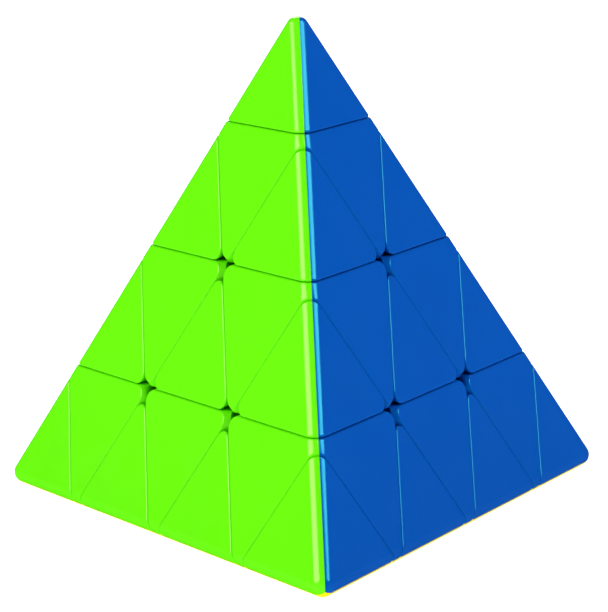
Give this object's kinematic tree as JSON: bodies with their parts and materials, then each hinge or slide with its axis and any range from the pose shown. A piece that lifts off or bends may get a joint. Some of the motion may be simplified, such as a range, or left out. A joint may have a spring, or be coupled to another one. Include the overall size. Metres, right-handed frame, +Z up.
{
  "type": "pyramid twisty puzzle",
  "caption": "Pyramid-shaped twisty puzzle with turning tips and corner layers, in glossy coloured plastic shells.",
  "frame": {"origin": "middle of the bottom face, straight below the top vertex", "axes": "+Z up through the top vertex; -Y towards the front vertex; +X towards the right vertex"},
  "size_m": [0.0928, 0.0808, 0.0764],
  "materials": {
    "green_plastic": "satin gloss, moulded in colour",
    "blue_plastic": "satin gloss, moulded in colour",
    "red_plastic": "satin gloss, moulded in colour",
    "yellow_plastic": "satin gloss, moulded in colour",
    "shell_plastic_three_colours": "satin gloss; each of the node's three shells is moulded in its own face's colour",
    "mechanism_plastic": "matt black",
    "screw_steel": "zinc-plated",
    "spring_steel": "drawn wire"
  },
  "bodies": {
    "frame_core": {"axis_screws": "screw_steel", "core": "mechanism_plastic", "face_center_blue": "blue_plastic", "face_center_green": "green_plastic", "face_center_red": "red_plastic", "face_center_yellow": "yellow_plastic", "middle_edge_front_right_blue": "blue_plastic", "middle_edge_front_right_yellow": "yellow_plastic", "middle_edge_left_front_green": "green_plastic", "middle_edge_left_front_yellow": "yellow_plastic", "middle_edge_left_right_red": "red_plastic", "middle_edge_left_right_yellow": "yellow_plastic", "middle_edge_top_front_blue": "blue_plastic", "middle_edge_top_front_green": "green_plastic", "middle_edge_top_left_green": "green_plastic", "middle_edge_top_left_red": "red_plastic", "middle_edge_top_right_blue": "blue_plastic", "middle_edge_top_right_red": "red_plastic", "spring_washers": "screw_steel", "tension_springs": "spring_steel"},
    "top_layer": {"vertex_hub_top": "mechanism_plastic", "vertex_shells_top": "shell_plastic_three_colours", "wing_top_front_blue": "blue_plastic", "wing_top_front_green": "green_plastic", "wing_top_left_green": "green_plastic", "wing_top_left_red": "red_plastic", "wing_top_right_blue": "blue_plastic", "wing_top_right_red": "red_plastic"},
    "top_tip": {"tip_shells_top": "shell_plastic_three_colours", "tip_stem_top": "mechanism_plastic"},
    "left_layer": {"vertex_hub_left": "mechanism_plastic", "vertex_shells_left": "shell_plastic_three_colours", "wing_left_front_green": "green_plastic", "wing_left_front_yellow": "yellow_plastic", "wing_left_right_red": "red_plastic", "wing_left_right_yellow": "yellow_plastic", "wing_left_top_green": "green_plastic", "wing_left_top_red": "red_plastic"},
    "left_tip": {"tip_shells_left": "shell_plastic_three_colours", "tip_stem_left": "mechanism_plastic"},
    "front_layer": {"vertex_hub_front": "mechanism_plastic", "vertex_shells_front": "shell_plastic_three_colours", "wing_front_left_green": "green_plastic", "wing_front_left_yellow": "yellow_plastic", "wing_front_right_blue": "blue_plastic", "wing_front_right_yellow": "yellow_plastic", "wing_front_top_blue": "blue_plastic", "wing_front_top_green": "green_plastic"},
    "front_tip": {"tip_shells_front": "shell_plastic_three_colours", "tip_stem_front": "mechanism_plastic"},
    "right_layer": {"vertex_hub_right": "mechanism_plastic", "vertex_shells_right": "shell_plastic_three_colours", "wing_right_front_blue": "blue_plastic", "wing_right_front_yellow": "yellow_plastic", "wing_right_left_red": "red_plastic", "wing_right_left_yellow": "yellow_plastic", "wing_right_top_blue": "blue_plastic", "wing_right_top_red": "red_plastic"},
    "right_tip": {"tip_shells_right": "shell_plastic_three_colours", "tip_stem_right": "mechanism_plastic"}
  },
  "joints": [
    {"name": "top_layer_turn", "type": "hinge", "parent": "frame_core", "child": "top_layer", "pos_m": [0, 0, 0.02], "axis": [0, 0, 1], "continuous": true},
    {"name": "top_tip_turn", "type": "hinge", "parent": "top_layer", "child": "top_tip", "pos_m": [0, 0, 0.02], "axis": [0, 0, 1], "continuous": true},
    {"name": "left_layer_turn", "type": "hinge", "parent": "frame_core", "child": "left_layer", "pos_m": [0, 0, 0.02], "axis": [-0.8165, 0.4714, -0.3333], "continuous": true},
    {"name": "left_tip_turn", "type": "hinge", "parent": "left_layer", "child": "left_tip", "pos_m": [0, 0, 0.02], "axis": [-0.8165, 0.4714, -0.3333], "continuous": true},
    {"name": "front_layer_turn", "type": "hinge", "parent": "frame_core", "child": "front_layer", "pos_m": [0, 0, 0.02], "axis": [0, -0.9428, -0.3333], "continuous": true},
    {"name": "front_tip_turn", "type": "hinge", "parent": "front_layer", "child": "front_tip", "pos_m": [0, 0, 0.02], "axis": [0, -0.9428, -0.3333], "continuous": true},
    {"name": "right_layer_turn", "type": "hinge", "parent": "frame_core", "child": "right_layer", "pos_m": [0, 0, 0.02], "axis": [0.8165, 0.4714, -0.3333], "continuous": true},
    {"name": "right_tip_turn", "type": "hinge", "parent": "right_layer", "child": "right_tip", "pos_m": [0, 0, 0.02], "axis": [0.8165, 0.4714, -0.3333], "continuous": true}
  ]
}
